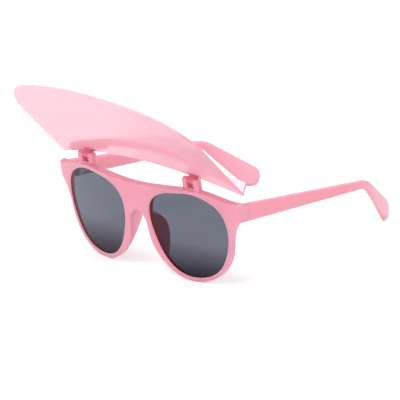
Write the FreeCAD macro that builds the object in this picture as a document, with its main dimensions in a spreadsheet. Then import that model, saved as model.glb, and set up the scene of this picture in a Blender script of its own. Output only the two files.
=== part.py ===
import FreeCAD, Part
import math
import os
from FreeCAD import Placement, Rotation, Vector

# Flip up sunglasses: a wrapped plastic front with two tinted lenses, folding temples
# and a brim that tips up on two hinges on the brow. Lengths are in millimetres.
# The front faces -Y and the wearer's left is +X. Most right pieces are mirrored from the left ones.

DIMENSIONS = {
    # Front
    "frame_width": 140.0,
    "bridge_width": 20.0,
    "corner_reach": 8.7,
    "front_radius": 220.0,
    "front_thickness": 4.4,
    "rim_thickness": 2.7,
    "lens_height": 51.9,
    "rim_below": 2.5,
    "rim_above": 2.4,
    "rim_wall": 2.5,
    "brow_dip": 1.5,
    "corner_drop": 6.3,
    "corner_height": 9.8,
    "notch_rise": 1.8,
    "front_edge": 0.45,
    # Lenses
    "lens_lap": 0.9,
    "lens_thickness": 1.2,
    "lens_setback": 0.7,
    "seat_gap": 0.05,
    # Nose pads
    "pad_depth": 6.8,
    "pad_width": 3.4,
    "pad_height": 33.0,
    "pad_flare": 2.0,
    "pad_lift": 4.0,
    "pad_root": 1.5,
    "pad_inset": 1.1,
    # Brow hinges
    "hinge_inset": 29.0,
    "hinge_width": 11.4,
    "slot_width": 5.0,
    "ear_depth": 3.6,
    "ear_height": 6.8,
    "ear_setback": 0.4,
    "ear_root": 2.0,
    "slot_floor": 0.9,
    "axis_below_ear_top": 1.6,
    "ear_edge_radius": 1.0,
    "knuckle_radius": 1.6,
    "knuckle_gap": 0.1,
    "pin_radius": 0.7,
    "pin_gap": 0.04,
    "pin_blind": 1.0,
    # Visor
    "visor_overhang": 0.3,
    "visor_depth": 69.6,
    "visor_sag": 14.8,
    "visor_lead": 3.2,
    "visor_rise": 3.2,
    "visor_thickness": 1.3,
    "visor_front_radius": 146.0,
    "visor_corner_radius": 35.0,
    "visor_edge": 0.35,
    "flange_height": 7.0,
    # Temples
    "arm_lap": 2.5,
    "arm_root_height": 11.0,
    "arm_thickness": 3.8,
    "arm_length": 112.5,
    "arm_fall": 17.0,
    "arm_toe_in": 4.0,
    "arm_edge": 0.8,
    "arm_inner_edge": 1.4,
    "bend_height": 4.6,
    "bend_offset": 2.2,
    "bend_radius": 22.0,
    "bend_inner_radius": 12.0,
    "bend_plan_radius": 60.0,
    "tip_run": 34.5,
    "tip_toe_in": 14.0,
    "tip_top": 8.6,
    "tip_heel": 2.5,
    "tip_sole": 7.2,
    "tip_radius": 4.0,
    "tip_top_radius": 8.0,
    "tip_sole_radius": 6.0,
    # Temple hinges
    "end_piece_length": 7.0,
    "joint_gap": 0.12,
    "barrel_radius": 1.5,
    "barrel_standoff": 0.35,
    "knuckle_height": 2.4,
    "leaf_gap": 0.1,
    "leaf_thickness": 1.2,
    "leaf_sunk": 0.6,
    "leaf_clear": 1.8,
    "front_leaf_length": 3.6,
    "temple_leaf_length": 7.0,
    "screw_radius": 0.6,
    "screw_head_radius": 1.1,
    "screw_head_height": 0.6,
    # Cuts reach past the solids by overrun, and edges this near to a face count as on it
    "overrun": 6.0,
    "near_face": 0.05,
}
# In degrees. Faces that turn by more than sharp_turn meet at a sharp edge.
ANGLES = {"front_lean": 7.8, "visor_tilt": 47.3, "flange_lean": 19.0, "sharp_turn": 25.0}

# Lens opening, as shares of half its width and half its height from its centre.
# The first point is the top, and the list goes round past the temple side to the nose side.
LENS_SHARES = [
    (0.00, 1.00),
    (0.53, 0.91),
    (0.86, 0.66),
    (1.00, 0.19),
    (0.905, -0.36),
    (0.63, -0.80),
    (0.13, -1.00),
    (-0.40, -0.905),
    (-0.72, -0.59),
    (-0.90, -0.19),
    (-1.00, 0.33),
    (-0.92, 0.66),
    (-0.66, 0.88),
]
# Rim wall at the lens points that the lower rim follows, as shares of rim_wall.
RIM_FIRST = 3
RIM_SHARES = [1.4, 1.08, 1.0, 1.0, 1.12, 1.6, 1.95, 2.6]
# Brow line: shares of half the frame's width, and of the drop from the brow to the corner.
BROW_SHARES = [(0.46, 0.0), (0.66, 0.06), (0.79, 0.42), (0.89, 0.78), (1.0, 1.0)]
# Nose pad section: shares of its width and of its height from the middle of the nose wall.
PAD_SHARES = [(0.4, 0.5), (0.0, 0.24), (0.0, -0.26), (0.4, -0.5), (1.0, -0.2), (1.0, 0.24)]
PAD_REAR_SHARE = 0.42

doc = FreeCAD.newDocument("flip_up_sunglasses")
sheet = doc.addObject("Spreadsheet::Sheet", "sizes")
for row, (alias, value) in enumerate({**DIMENSIONS, **ANGLES}.items(), start=1):
    sheet.set("A%d" % row, alias)
    sheet.set("B%d" % row, str(value))
    sheet.setAlias("B%d" % row, alias)
doc.recompute()


def size(alias):
    return float(sheet.get(alias))


def bind(feature, **expressions):
    for prop, expression in expressions.items():
        feature.setExpression(prop, expression)
    return feature


def sketch_on(body, role, curves, name):
    plane = [item for item in body.Origin.OriginFeatures if item.Role == role][0]
    sketch = body.newObject("Sketcher::SketchObject", name)
    sketch.AttachmentSupport = [(plane, "")]
    sketch.MapMode = "FlatFace"
    for curve in curves:
        sketch.addGeometry(curve)
    return sketch


def padded(name, role, curves, length, symmetric=False, backward=False):
    """A body with one pad of a closed outline on an origin plane."""
    body = doc.addObject("PartDesign::Body", name)
    pad = body.newObject("PartDesign::Pad", name + "_pad")
    pad.Profile = sketch_on(body, role, curves, name + "_outline")
    pad.Reversed = backward
    if symmetric:
        pad.SideType = "Symmetric"
    bind(pad, Length=length)
    return body


def combined(kind, name, base, tool):
    feature = doc.addObject("Part::" + kind, name)
    feature.Base = base
    feature.Tool = tool
    return feature


def fused(name, shapes):
    feature = doc.addObject("Part::MultiFuse", name)
    feature.Shapes = shapes
    return feature


def mirrored(name, source):
    """The wearer's right piece, mirrored from the left one."""
    feature = doc.addObject("Part::Mirroring", name)
    feature.Source = source
    feature.Normal = Vector(1, 0, 0)
    return feature


def box(name, corner, length, width, height):
    feature = doc.addObject("Part::Box", name)
    feature.Placement.Base = corner
    return bind(feature, Length=length, Width=width, Height=height)


def cylinder(name, base, axis, radius, height):
    feature = doc.addObject("Part::Cylinder", name)
    feature.Placement = Placement(base, Rotation(Vector(0, 0, 1), axis))
    return bind(feature, Radius=radius, Height=height)


def sharp_edges(shape, wanted):
    """Numbers of the edges where two faces meet at an angle and whose middle is wanted."""
    numbers = []
    for number, edge in enumerate(shape.Edges, start=1):
        first, last = edge.ParameterRange
        middle = edge.valueAt((first + last) / 2)
        faces = shape.ancestorsOfType(edge, Part.Face)
        if len(faces) != 2 or not wanted(middle):
            continue
        normals = [face.normalAt(*face.Surface.parameter(middle)) for face in faces]
        if math.degrees(normals[0].getAngle(normals[1])) > size("sharp_turn"):
            numbers.append(number)
    return numbers


def eased(kind, name, base, amount, wanted):
    """A solid with its wanted sharp edges rounded (Fillet) or bevelled (Chamfer) by an amount."""
    doc.recompute()
    feature = doc.addObject("Part::" + kind, name)
    feature.Base = base
    feature.Edges = [(number, size(amount), size(amount)) for number in sharp_edges(base.Shape, wanted)]
    return feature


def flat(x, y):
    return Vector(x, y, 0)


def smooth(points, closed=False):
    curve = Part.BSplineCurve()
    curve.interpolate(points, PeriodicFlag=closed)
    return curve


def arc_from(start, direction, end):
    """The arc that leaves a point in a direction and ends at another point."""
    chord = end - start
    turn = math.atan2(direction.x * chord.y - direction.y * chord.x, direction.dot(chord))
    middle = start + chord / 2 + flat(chord.y, -chord.x) * (math.tan(turn / 2) / 2)
    return Part.Arc(start, middle, end)


def arcs(points, closed=False):
    """Tangent arcs along a smooth line through points, two for each span."""
    curve = smooth(points, closed)
    tangents = [curve.tangent(curve.parameter(point))[0] for point in points]
    if closed:
        points = points + points[:1]
        tangents = tangents + tangents[:1]
    curves = []
    for start, end, leaving, arriving in zip(points, points[1:], tangents, tangents[1:]):
        chord = end - start
        square = chord.dot(chord)
        along = chord.dot(leaving + arriving)
        swing = 2 * (1 - leaving.dot(arriving)) * square
        reach = square / (along + math.sqrt(along ** 2 + swing))
        middle = (start + end + (leaving - arriving) * reach) / 2
        curves.append(arc_from(start, leaving, middle))
        curves.append(arc_from(end, -arriving, middle))
    return curves


def rounded(corners):
    """Lines round a polygon of (point, radius), with a tangent arc at each rounded corner."""
    curves = []
    ends = []
    count = len(corners)
    for index, (point, radius) in enumerate(corners):
        before = (corners[index - 1][0] - point).normalize()
        after = (corners[(index + 1) % count][0] - point).normalize()
        if radius == 0:
            ends.append((point, point))
            continue
        half_angle = before.getAngle(after) / 2
        start = point + before * (radius / math.tan(half_angle))
        end = point + after * (radius / math.tan(half_angle))
        bisector = (before + after).normalize()
        middle = point + bisector * (radius / math.sin(half_angle) - radius)
        curves.append(Part.Arc(start, middle, end))
        ends.append((start, end))
    for index in range(count):
        start = ends[index][1]
        end = ends[(index + 1) % count][0]
        if (end - start).Length > Part.Precision.confusion():
            curves.append(Part.LineSegment(start, end))
    return curves


# Front
half_width = size("frame_width") / 2
lens_width = half_width - size("corner_reach") - size("bridge_width") / 2
lens_middle = flat((size("bridge_width") + lens_width) / 2, size("rim_below") + size("lens_height") / 2)
brow_top = size("rim_below") + size("lens_height") + size("rim_above")
corner_top = brow_top - size("corner_drop")


def bow(x):
    """How far the front's curved face lies behind the bridge at a distance x from the middle."""
    return size("front_radius") - math.sqrt(size("front_radius") ** 2 - x ** 2)


def lens_points(lap):
    """The lens opening's points, moved outward by a lap into the rim."""
    half = flat(lens_width / 2, size("lens_height") / 2)
    points = [lens_middle + flat(x * half.x, y * half.y) for x, y in LENS_SHARES]
    curve = smooth(points, closed=True)
    moved = []
    for point in points:
        tangent = curve.tangent(curve.parameter(point))[0]
        moved.append(point + flat(-tangent.y, tangent.x) * lap)
    return moved


def rim_points():
    """The lower rim's outer edge, from under the end piece round to the nose notch."""
    points = []
    for index, share in enumerate(RIM_SHARES, start=RIM_FIRST):
        points.append(lens_points(share * size("rim_wall"))[index])
    return points


def mirror_points(points):
    return [flat(-point.x, point.y) for point in points]


def front_outline():
    brow = [flat(x * half_width, brow_top - y * size("corner_drop")) for x, y in BROW_SHARES]
    middle = flat(0, brow_top - size("brow_dip"))
    corner = brow[-1]
    corner_low = flat(half_width, corner_top - size("corner_height"))
    rim = rim_points()
    notch = flat(0, rim[-1].y + size("notch_rise"))
    curves = arcs(mirror_points(brow)[::-1] + [middle] + brow)
    lower = [corner_low] + rim + [notch] + mirror_points([corner_low] + rim)[::-1]
    curves += arcs(lower)
    for low, high in ((corner_low, corner), mirror_points([corner_low, corner])):
        curves.append(Part.LineSegment(low, high))
    curves += arcs(lens_points(0), closed=True)
    curves += arcs(mirror_points(lens_points(0)), closed=True)
    return curves


def bowed_band(name, setback, thickness):
    """A curved sheet as tall as the front, set back from its front face."""
    reach = half_width + size("overrun")
    near = [flat(x, bow(x) + setback) for x in (-reach, 0, reach)]
    far = [point + flat(0, thickness) for point in near]
    curves = [
        Part.Arc(*near),
        Part.LineSegment(near[-1], far[-1]),
        Part.Arc(*far),
        Part.LineSegment(far[0], near[0]),
    ]
    return padded(name, "XY_Plane", curves, "4 * (sizes.lens_height + sizes.overrun)", symmetric=True)


def bowed_plate(name, curves, setback, thickness):
    """A flat outline cut from a curved sheet."""
    depth = "2 * (sizes.frame_width / 2 + sizes.overrun)"
    outline = padded(name + "_form", "XZ_Plane", curves, depth, backward=True)
    return combined("Common", name, outline, bowed_band(name + "_band", setback, thickness))


def lens_plate(name, gap):
    curves = arcs(lens_points(size("lens_lap") + gap), closed=True)
    setback = size("lens_setback") - gap
    return bowed_plate(name, curves, setback, size("lens_thickness") + 2 * gap)


def on_front_face(point):
    return abs(point.y - bow(point.x)) < size("near_face")


# The front's rear face leans in, so that the front is thinner at the lower rims than at the brow
rear_space = bowed_band("rear_space", size("front_thickness"), 2 * size("pad_depth"))
thinning = math.atan2(size("front_thickness") - size("rim_thickness"), brow_top)
rear_edge = Vector(0, size("front_thickness"), brow_top)
rear_turn = Rotation(Vector(1, 0, 0), -math.degrees(thinning))
rear_space.Placement = Placement(Vector(0, 0, 0), rear_turn, rear_edge)

shell = bowed_plate("front_plate", front_outline(), 0, size("front_thickness"))
shell = combined("Cut", "thinned_plate", shell, rear_space)
shell = eased("Chamfer", "front_shell", shell, "front_edge", on_front_face)
left_lens = lens_plate("left_lens", 0)
left_seat = lens_plate("left_lens_seat", size("seat_gap"))
lens_seats = fused("lens_seats", [left_seat, mirrored("right_lens_seat", left_seat)])

# Nose pads
rim = rim_points()
nose_wall = rim[-2] + flat(size("pad_inset"), 0)


def pad_section(name, depth, share, flare, lift):
    wall_line = (rim[-1] - rim[-3]).normalize()
    points = []
    for x, y in PAD_SHARES:
        along = wall_line * (y * size("pad_height") * share + lift)
        points.append(nose_wall + along + flat(x * size("pad_width") * share + flare, 0))
    sketch = sketch_on(pad_body, "XZ_Plane", rounded([(point, 0) for point in points]), name)
    sketch.AttachmentOffset.Base = Vector(0, 0, -depth)
    return sketch


pad_body = doc.addObject("PartDesign::Body", "nose_pad_form")
pad_loft = pad_body.newObject("PartDesign::AdditiveLoft", "nose_pad_loft")
pad_start = size("rim_thickness") - size("pad_root")
pad_end = size("front_thickness") + size("pad_depth")
pad_loft.Ruled = True
pad_loft.Profile = pad_section("pad_root_section", pad_start, 1, 0, 0)
pad_loft.Sections = [
    pad_section("pad_rear_section", pad_end, PAD_REAR_SHARE, size("pad_flare"), size("pad_lift"))
]
left_nose_pad = combined("Common", "left_nose_pad", pad_body, rear_space)

# Brow hinges: two ears on a low block each side. The pins enter from the wearer's right.
hinge_x = half_width - size("hinge_inset")
ear_front = bow(hinge_x + size("hinge_width") / 2) + size("ear_setback")
ear_top = brow_top + size("ear_height")
axis_height = ear_top - size("axis_below_ear_top")
axis_depth = ear_front + size("ear_depth") / 2
across = Vector(1, 0, 0)


def on_ear_top(point):
    return ear_top - point.z < size("near_face") and abs(point.y - axis_depth) > size("near_face")


def brow_hinge(side, x):
    """The ears at a distance x from the middle, and the pin through them."""
    corner = Vector(x - size("hinge_width") / 2, ear_front, brow_top - size("ear_root"))
    height = "sizes.ear_height + sizes.ear_root"
    block = box(side + "_hinge_block", corner, "sizes.hinge_width", "sizes.ear_depth", height)
    block = eased("Fillet", side + "_rounded_block", block, "ear_edge_radius", on_ear_top)
    slot_x = x - size("slot_width") / 2
    slot_corner = Vector(slot_x, ear_front - size("overrun"), brow_top + size("slot_floor"))
    slot_depth = "sizes.ear_depth + 2 * sizes.overrun"
    slot_height = "sizes.ear_height + sizes.overrun"
    slot = box(side + "_hinge_slot", slot_corner, "sizes.slot_width", slot_depth, slot_height)
    start = Vector(corner.x, axis_depth, axis_height)
    length = "sizes.hinge_width - sizes.pin_blind"
    pin = cylinder(side + "_visor_pin", start, across, "sizes.pin_radius", length)
    bore_start = start - across * size("overrun")
    bore_radius = "sizes.pin_radius + sizes.pin_gap"
    bore = cylinder(side + "_pin_bore", bore_start, across, bore_radius, length + " + sizes.overrun")
    slotted = combined("Cut", side + "_slotted_block", block, slot)
    return combined("Cut", side + "_ears", slotted, bore), pin


left_ears, left_visor_pin = brow_hinge("left", hinge_x)
right_ears, right_visor_pin = brow_hinge("right", -hinge_x)

# The lens seats are cut last, then the front leans forward and stands on its rims
front_fused = fused("front_with_ears", [shell, left_ears, right_ears])
grooved_front = combined("Cut", "grooved_front", front_fused, lens_seats)
lean = Placement(Vector(0, 0, 0), Rotation(Vector(1, 0, 0), size("front_lean")))
grooved_front.Placement = lean
doc.recompute()
floor = grooved_front.Shape.optimalBoundingBox(False, False).ZMin
lean = Placement(Vector(0, 0, -floor), lean.Rotation)
for feature in (grooved_front, left_lens, left_nose_pad):
    feature.Placement = lean
for pin in (left_visor_pin, right_visor_pin):
    pin.Placement = lean.multiply(pin.Placement)

# Temple arms: a side outline cut by a plan outline, from inside the front's corner to the tip
corner = lean.multVec(Vector(half_width, bow(half_width), corner_top))
root = corner.y + size("arm_lap")
joint = root + size("end_piece_length")
bend = root + size("arm_length")
bend_top = corner.z - size("arm_fall")
tip_end = bend + size("tip_run")
side_outline = rounded(
    [
        (flat(root, corner.z), 0),
        (flat(bend, bend_top), size("bend_radius")),
        (flat(tip_end, size("tip_top")), size("tip_top_radius")),
        (flat(tip_end - size("tip_heel"), 0), size("tip_radius")),
        (flat(tip_end - size("tip_heel") - size("tip_sole"), 0), size("tip_sole_radius")),
        (flat(bend - size("bend_offset"), bend_top - size("bend_height")), size("bend_inner_radius")),
        (flat(root, corner.z - size("arm_root_height")), 0),
    ]
)
knee = flat(half_width - size("arm_toe_in"), bend)
toe = flat(knee.x - size("tip_toe_in"), tip_end)
past = toe + (toe - knee).normalize() * size("overrun")
inward = flat(-size("arm_thickness"), 0)
plan_outline = rounded(
    [
        (flat(half_width, root), 0),
        (knee, size("bend_plan_radius")),
        (past, 0),
        (past + inward, 0),
        (knee + inward, size("bend_plan_radius")),
        (flat(half_width, root) + inward, 0),
    ]
)
arm_side = padded("arm_side", "YZ_Plane", side_outline, "sizes.frame_width")
arm_plan = padded(
    "arm_plan", "XY_Plane", plan_outline, "4 * (sizes.lens_height + sizes.overrun)", symmetric=True
)
arm = combined("Common", "square_arm", arm_side, arm_plan)
middle_line = [flat(half_width, root) + inward / 2, knee + inward / 2, toe + inward / 2]


def beside_arm(point, inner):
    """Whether a point behind the root lies on the inner or the outer side of the arm's middle line."""
    near, far = middle_line[:2] if point.y < knee.y else middle_line[1:]
    share = (point.y - near.y) / (far.y - near.y)
    line_x = near.x + share * (far.x - near.x)
    return point.y > root + size("near_face") and (point.x < line_x) == inner


arm = eased("Chamfer", "arm_inner_edges", arm, "arm_inner_edge", lambda point: beside_arm(point, True))
arm = eased("Chamfer", "arm", arm, "arm_edge", lambda point: beside_arm(point, False))


def before_joint(name, gap):
    corner = Vector(0, root - size("overrun"), -size("overrun"))
    length = "sizes.end_piece_length + sizes.overrun + " + gap
    return box(name, corner, "sizes.frame_width", length, "2 * sizes.lens_height")


end_piece = combined("Common", "end_piece", arm, before_joint("end_piece_zone", "0"))
arm_behind = combined("Cut", "arm_behind", arm, before_joint("temple_clear_zone", "sizes.joint_gap"))

# Temple hinges: a two knuckle leaf in the end piece, a one knuckle leaf in the temple, and a screw
joint_share = size("end_piece_length") / size("arm_length")
inner_face = half_width - joint_share * size("arm_toe_in") - size("arm_thickness")
joint_fall = joint_share * size("arm_fall")
hinge_axis = Vector(
    inner_face - size("barrel_radius") - size("barrel_standoff"),
    joint,
    corner.z - joint_fall - size("arm_root_height") / 2,
)
pitch = size("knuckle_height") + size("leaf_gap")
barrel_low = hinge_axis - Vector(0, 0, pitch + size("knuckle_height") / 2)
leaf_face = inner_face + size("leaf_sunk") - size("leaf_thickness")
up = Vector(0, 0, 1)
barrel_stack = "3 * sizes.knuckle_height + 2 * sizes.leaf_gap"


def knuckle(name, level, rear):
    """One knuckle and the tab that joins it to its leaf, at a level from 0 to 2."""
    base = barrel_low + up * (level * pitch)
    barrel = cylinder(name + "_barrel", base, up, "sizes.barrel_radius", "sizes.knuckle_height")
    tab_start = size("joint_gap") if rear else -size("leaf_clear")
    tab_base = Vector(hinge_axis.x, hinge_axis.y + tab_start, base.z)
    tab = box(
        name + "_tab",
        tab_base,
        "sizes.barrel_radius + sizes.barrel_standoff + sizes.leaf_sunk",
        "sizes.leaf_clear",
        "sizes.knuckle_height",
    )
    return [barrel, tab]


def hinge_leaf(name, levels, rear):
    length = "sizes.temple_leaf_length" if rear else "sizes.front_leaf_length"
    offset = size("leaf_clear") if rear else -size("leaf_clear") - size("front_leaf_length")
    plate_base = Vector(leaf_face, hinge_axis.y + offset, barrel_low.z)
    shapes = [box(name + "_plate", plate_base, "sizes.leaf_thickness", length, barrel_stack)]
    for level in levels:
        shapes += knuckle("%s_%d" % (name, level), level, rear)
    bore = cylinder(
        name + "_bore",
        barrel_low - up * size("overrun"),
        up,
        "sizes.screw_radius + sizes.pin_gap",
        barrel_stack + " + 2 * sizes.overrun",
    )
    form = fused(name + "_form", shapes)
    return form, combined("Cut", name, form, bore)


front_leaf_form, left_front_hinge = hinge_leaf("left_front_hinge", (0, 2), rear=False)
temple_leaf_form, left_temple_hinge = hinge_leaf("left_temple_hinge", (1,), rear=True)
shank = cylinder("screw_shank", barrel_low, up, "sizes.screw_radius", barrel_stack)
head_base = barrel_low + up * (2 * pitch + size("knuckle_height"))
head = cylinder("screw_head", head_base, up, "sizes.screw_head_radius", "sizes.screw_head_height")
left_hinge_screw = fused("left_hinge_screw", [shank, head])

left_temple = combined("Cut", "left_temple", arm_behind, temple_leaf_form)
front_joined = fused("front_joined", [grooved_front, end_piece, mirrored("right_end_piece", end_piece)])
leaf_pockets = fused("leaf_pockets", [front_leaf_form, mirrored("right_leaf_pocket", front_leaf_form)])
frame_front = combined("Cut", "frame_front", front_joined, leaf_pockets)

# Visor, drawn level about its hinge axis and then tipped up
visor = doc.addObject("PartDesign::Body", "visor")
visor_half = half_width + size("visor_overhang")
heel = size("visor_sag") - size("visor_lead")
sag_radius = (visor_half ** 2 + size("visor_sag") ** 2) / (2 * size("visor_sag"))


def brim_outline():
    """Straight sides, a wide front arc with a corner arc at each end, and a hollow back edge."""
    front = flat(0, -size("visor_lead") - size("visor_depth"))
    front_centre = front + flat(0, size("visor_front_radius"))
    corner = size("visor_corner_radius")
    inset = visor_half - corner
    reach = math.sqrt((size("visor_front_radius") - corner) ** 2 - inset ** 2)
    corner_centre = front_centre + flat(inset, -reach)
    outward = (corner_centre - front_centre).normalize()
    arc = [corner_centre + way * corner for way in (across, (across + outward).normalize(), outward)]
    back = flat(visor_half, heel)
    curves = [Part.Arc(arc[-1], front, mirror_points(arc)[-1])]
    for points in ([back] + arc, mirror_points([back] + arc)):
        curves.append(Part.LineSegment(points[0], points[1]))
        curves.append(Part.Arc(*points[1:]))
    curves.append(Part.Arc(back, flat(0, -size("visor_lead")), mirror_points([back])[0]))
    return curves


brim_sketch = sketch_on(visor, "XY_Plane", brim_outline(), "brim_outline")
brim_sketch.AttachmentOffset.Base = Vector(0, 0, size("visor_rise"))
brim_pad = visor.newObject("PartDesign::Pad", "brim")
brim_pad.Profile = brim_sketch
bind(brim_pad, Length="sizes.visor_thickness")
doc.recompute()
brim_mid = size("visor_rise") + size("visor_thickness") / 2


def round_the_front(point):
    """Whether a point lies on the brim's upper or lower edge, away from the flange."""
    before_flange = point.y < -size("visor_lead") - size("near_face")
    return before_flange and abs(point.z - brim_mid) > size("near_face")


rim_numbers = sharp_edges(brim_pad.Shape, round_the_front)
brim_edge = visor.newObject("PartDesign::Chamfer", "brim_edge")
brim_edge.Base = (brim_pad, ["Edge%d" % number for number in rim_numbers])
bind(brim_edge, Size="sizes.visor_edge")

# A low flange stands along the brim's back edge and leans over the brim
lean_angle = math.radians(size("flange_lean"))
flange_foot = flat(-size("visor_lead"), size("visor_rise"))
flange_rise = flat(-math.sin(lean_angle), math.cos(lean_angle)) * size("flange_height")
flange_wall = flat(-size("visor_thickness") / math.cos(lean_angle), 0)
flange_corners = [flange_foot, flange_foot + flange_rise]
flange_corners += [flange_foot + flange_rise + flange_wall, flange_foot + flange_wall]
flange_sketch = sketch_on(visor, "YZ_Plane", rounded([(c, 0) for c in flange_corners]), "flange_section")
sag_centre = sag_radius - size("visor_lead")
flange_axis = Part.LineSegment(flat(sag_centre, 0), flat(sag_centre, size("flange_height")))
flange_sketch.addGeometry(flange_axis, True)
flange = visor.newObject("PartDesign::Revolution", "flange")
flange.Profile = flange_sketch
flange.ReferenceAxis = (flange_sketch, ["Axis0"])
flange.Midplane = True
half_chord = "(sizes.frame_width / 2 + sizes.visor_overhang)"
bind(flange, Angle="4 * atan(sizes.visor_sag / %s)" % half_chord)

# The flange's ends are flush with the brim's sides
trim_curves = []
for side in (1, -1):
    near = side * visor_half
    far = near + side * size("overrun")
    corners = [flat(near, heel - size("overrun")), flat(far, heel - size("overrun"))]
    corners += [flat(far, heel + size("overrun")), flat(near, heel + size("overrun"))]
    trim_curves += rounded([(corner, 0) for corner in corners])
trim = visor.newObject("PartDesign::Pocket", "flange_ends")
trim.Profile = sketch_on(visor, "XY_Plane", trim_curves, "flange_end_outline")
trim.SideType = "Symmetric"
bind(trim, Length="4 * (sizes.flange_height + sizes.overrun)")

# Two knuckles under the back edge turn between the ears
radius = size("knuckle_radius")
web_top = size("visor_rise") + size("visor_thickness") / 2
web_corners = [flat(-radius, 0), flat(-radius, web_top), flat(radius, web_top), flat(radius, 0)]
knuckle_curves = [Part.LineSegment(a, b) for a, b in zip(web_corners, web_corners[1:])]
knuckle_curves.append(Part.Arc(flat(radius, 0), flat(0, -radius), flat(-radius, 0)))
knuckle_sketch = sketch_on(visor, "YZ_Plane", knuckle_curves, "knuckle_section")
knuckle_sketch.AttachmentOffset.Base = Vector(0, 0, hinge_x)
left_knuckle = visor.newObject("PartDesign::Pad", "left_knuckle")
left_knuckle.Profile = knuckle_sketch
left_knuckle.SideType = "Symmetric"
bind(left_knuckle, Length="sizes.slot_width - 2 * sizes.knuckle_gap")
doc.recompute()
knuckles = visor.newObject("PartDesign::Mirrored", "knuckles")
knuckles.Originals = [left_knuckle]
knuckles.MirrorPlane = ([f for f in visor.Origin.OriginFeatures if f.Role == "YZ_Plane"][0], [""])
visor.Tip = knuckles
doc.recompute()
bore_curve = Part.Circle(flat(0, 0), Vector(0, 0, 1), size("pin_radius") + size("pin_gap"))
bore = visor.newObject("PartDesign::Pocket", "pin_bores")
bore.Profile = sketch_on(visor, "YZ_Plane", [bore_curve], "pin_bore_outline")
bore.SideType = "Symmetric"
bind(bore, Length="sizes.frame_width")
visor.Tip = bore
axis_point = lean.multVec(Vector(0, axis_depth, axis_height))
visor.Placement = Placement(axis_point, Rotation(Vector(1, 0, 0), -size("visor_tilt")))

# Sub-parts by node name; the right pieces mirror the left ones
LEFT = {
    "lens": left_lens,
    "nose_pad": left_nose_pad,
    "front_hinge": left_front_hinge,
    "temple_hinge": left_temple_hinge,
    "hinge_screw": left_hinge_screw,
    "temple": left_temple,
}
nodes = {"frame_front": frame_front, "visor": visor}
nodes.update({"left_visor_pin": left_visor_pin, "right_visor_pin": right_visor_pin})
for piece, feature in LEFT.items():
    nodes["left_" + piece] = feature
    nodes["right_" + piece] = mirrored("right_" + piece, feature)
doc.recompute()

# The origin goes under the middle of the whole part, on the floor
extent = FreeCAD.BoundBox()
for feature in nodes.values():
    extent.add(feature.Shape.optimalBoundingBox(False, False))
shift = Vector(-extent.Center.x, -extent.Center.y, -extent.ZMin)
for name, feature in nodes.items():
    feature.Label = name
    if feature.TypeId != "Part::Mirroring":
        feature.Placement.Base = feature.Placement.Base + shift
doc.recompute()

for item in doc.Objects:
    if "Invalid" in item.State or "Error" in item.State:
        raise RuntimeError("failed to build: " + item.Label)
os.makedirs("parts", exist_ok=True)
for name, feature in nodes.items():
    shape = feature.Shape
    if shape.isNull() or not shape.isValid() or len(shape.Solids) != 1:
        raise RuntimeError("not one sound solid: " + name)
    shape.exportStep("parts/%s.step" % name)
print("size", extent.XLength, extent.YLength, extent.ZLength)
print("visor axis", axis_point + shift)
print("temple axis", hinge_axis + shift)
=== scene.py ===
# %% [markdown]
# # Flip up sunglasses
# A pair of moulded plastic sunglasses with smoke gray lenses and a stiff brim that flips up over the
# brow on two small hinges. The solids come packed and in place, so this lesson only dresses them:
# smooth skins, plastic, tinted lenses and steel, and then the light and the camera of a plain studio.

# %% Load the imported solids
import math
import bmesh
import bpy
from mathutils import Matrix, Vector
from mathutils.bvhtree import BVHTree


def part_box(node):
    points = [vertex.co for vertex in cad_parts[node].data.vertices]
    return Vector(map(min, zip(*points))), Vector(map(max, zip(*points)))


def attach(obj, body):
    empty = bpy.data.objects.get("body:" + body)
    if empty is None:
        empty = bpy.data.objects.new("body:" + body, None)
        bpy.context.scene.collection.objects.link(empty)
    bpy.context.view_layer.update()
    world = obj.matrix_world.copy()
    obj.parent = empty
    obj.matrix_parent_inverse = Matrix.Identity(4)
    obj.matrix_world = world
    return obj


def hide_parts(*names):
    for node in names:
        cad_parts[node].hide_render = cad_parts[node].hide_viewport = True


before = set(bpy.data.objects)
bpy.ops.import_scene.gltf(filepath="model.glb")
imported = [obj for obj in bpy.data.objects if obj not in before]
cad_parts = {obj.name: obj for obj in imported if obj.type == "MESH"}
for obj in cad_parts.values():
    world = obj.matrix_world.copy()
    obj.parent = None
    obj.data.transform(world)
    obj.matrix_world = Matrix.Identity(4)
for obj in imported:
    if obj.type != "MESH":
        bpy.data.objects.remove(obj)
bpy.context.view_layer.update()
scene = bpy.context.scene
print("solids:", ", ".join(sorted(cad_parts)))

# %% [markdown]
# ## Shared finishes
# Moulded plastic is never perfectly even. It has a fine grain from the mould, slow changes of shade
# where the pigment mixed unevenly, faint rubbed marks from handling, and paler edges. Painting these on
# each piece would take an image for each one. Three node groups do it for all materials instead: every
# material places a group and gives it its own values.

# %% Helpers for node trees
MM = 0.001


def add_node(tree, kind, **values):
    """One node of a tree. Inputs are given by socket name, with _ for a space."""
    node = tree.nodes.new(kind)
    for name, value in values.items():
        node.inputs[name.replace("_", " ")].default_value = value
    return node


def join(tree, source, output, target, socket):
    """A link from a node's output to another node's input."""
    tree.links.new(source.outputs[output], target.inputs[socket])


def calculated(tree, operation, first, second):
    """A Math node of two inputs, each a (node, output) pair or a number."""
    node = tree.nodes.new("ShaderNodeMath")
    node.operation = operation
    for socket, source in zip(node.inputs, (first, second)):
        if isinstance(source, tuple):
            tree.links.new(source[0].outputs[source[1]], socket)
        else:
            socket.default_value = source
    return node


def mapped(tree, low, high, new_low=0.0, new_high=1.0):
    """A Map Range node between two ranges."""
    node = tree.nodes.new("ShaderNodeMapRange")
    for socket, value in zip(list(node.inputs)[1:5], (low, high, new_low, new_high)):
        socket.default_value = value
    return node


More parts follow.
